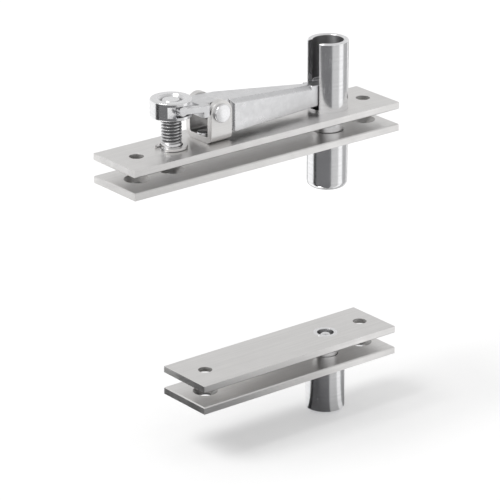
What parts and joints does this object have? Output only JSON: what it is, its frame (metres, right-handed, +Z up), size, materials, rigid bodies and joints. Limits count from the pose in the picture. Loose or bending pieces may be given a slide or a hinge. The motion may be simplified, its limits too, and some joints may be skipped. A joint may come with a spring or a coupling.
{
  "type": "pivot hinge",
  "caption": "Concealed pivot hinge set for a door leaf: a head unit with a screw-driven lift pin, a floor pivot with a thrust bearing, and the leaf's plates.",
  "frame": {"origin": "on the pivot axis, at the underside of the floor plate", "axes": "+Z up along the pivot axis, -X along the plates towards their far ends, +Y across the plates"},
  "size_m": [0.13, 0.026, 0.158],
  "materials": {
    "jamb_plate": "satin stainless steel",
    "pin_guide_tube": "polished steel",
    "fulcrum_bracket": "satin stainless steel",
    "bracket_rivets": "polished steel",
    "fulcrum_pin": "polished steel",
    "lever": "nickel-plated casting",
    "lift_nut": "polished steel",
    "adjusting_screw": "polished steel",
    "screw_clip": "satin stainless steel",
    "top_pivot_pin": "polished steel",
    "link_pin": "polished steel",
    "top_leaf_plate": "satin stainless steel",
    "top_cup": "polished steel",
    "bottom_leaf_plate": "satin stainless steel",
    "bottom_sleeve": "polished steel",
    "upper_race": "polished steel",
    "ball_cage": "plain brass",
    "bearing_balls": "polished steel",
    "lower_race": "polished steel",
    "floor_plate": "satin stainless steel",
    "floor_cup": "polished steel",
    "floor_pin": "polished steel"
  },
  "bodies": {
    "door_frame": {"jamb_plate": "jamb_plate", "pin_guide_tube": "pin_guide_tube", "fulcrum_bracket": "fulcrum_bracket", "bracket_rivets": "bracket_rivets", "fulcrum_pin": "fulcrum_pin", "floor_plate": "floor_plate", "floor_cup": "floor_cup", "floor_pin": "floor_pin", "lower_race": "lower_race"},
    "leaf": {"top_leaf_plate": "top_leaf_plate", "top_cup": "top_cup", "bottom_leaf_plate": "bottom_leaf_plate", "bottom_sleeve": "bottom_sleeve", "upper_race": "upper_race"},
    "ball_set": {"ball_cage": "ball_cage", "bearing_balls": "bearing_balls"},
    "screw": {"adjusting_screw": "adjusting_screw", "screw_clip": "screw_clip"},
    "nut": {"lift_nut": "lift_nut"},
    "lever": {"lever": "lever"},
    "lift_pin": {"top_pivot_pin": "top_pivot_pin", "link_pin": "link_pin"}
  },
  "joints": [
    {"name": "leaf_swing", "type": "hinge", "parent": "door_frame", "child": "leaf", "pos_m": [0, 0, 0.012], "axis": [0, 0, 1], "continuous": true},
    {"name": "ball_orbit", "type": "hinge", "parent": "door_frame", "child": "ball_set", "pos_m": [0, 0, -0.01425], "axis": [0, 0, 1], "continuous": true},
    {"name": "screw_spin", "type": "hinge", "parent": "door_frame", "child": "screw", "pos_m": [-0.077, 0, 0.108], "axis": [0, 0, 1], "range_deg": [0, 1245.9]},
    {"name": "nut_travel", "type": "slide", "parent": "door_frame", "child": "nut", "axis": [0, 0, -1], "range_m": [0, 0.00433]},
    {"name": "lever_tilt", "type": "hinge", "parent": "door_frame", "child": "lever", "pos_m": [-0.059, 0, 0.12], "axis": [0, -1, 0], "range_deg": [0, 13.53]},
    {"name": "pin_lift", "type": "slide", "parent": "door_frame", "child": "lift_pin", "axis": [0, 0, 1], "range_m": [0, 0.014]}
  ],
  "couplings": [
    {"joint": "ball_orbit", "follows": "leaf_swing", "ratio": 0.5},
    {"joint": "screw_spin", "follows": "pin_lift", "rad_per_m": 1553.1},
    {"joint": "nut_travel", "follows": "pin_lift", "ratio": 0.30898},
    {"joint": "lever_tilt", "follows": "pin_lift", "rad_per_m": 16.86}
  ]
}
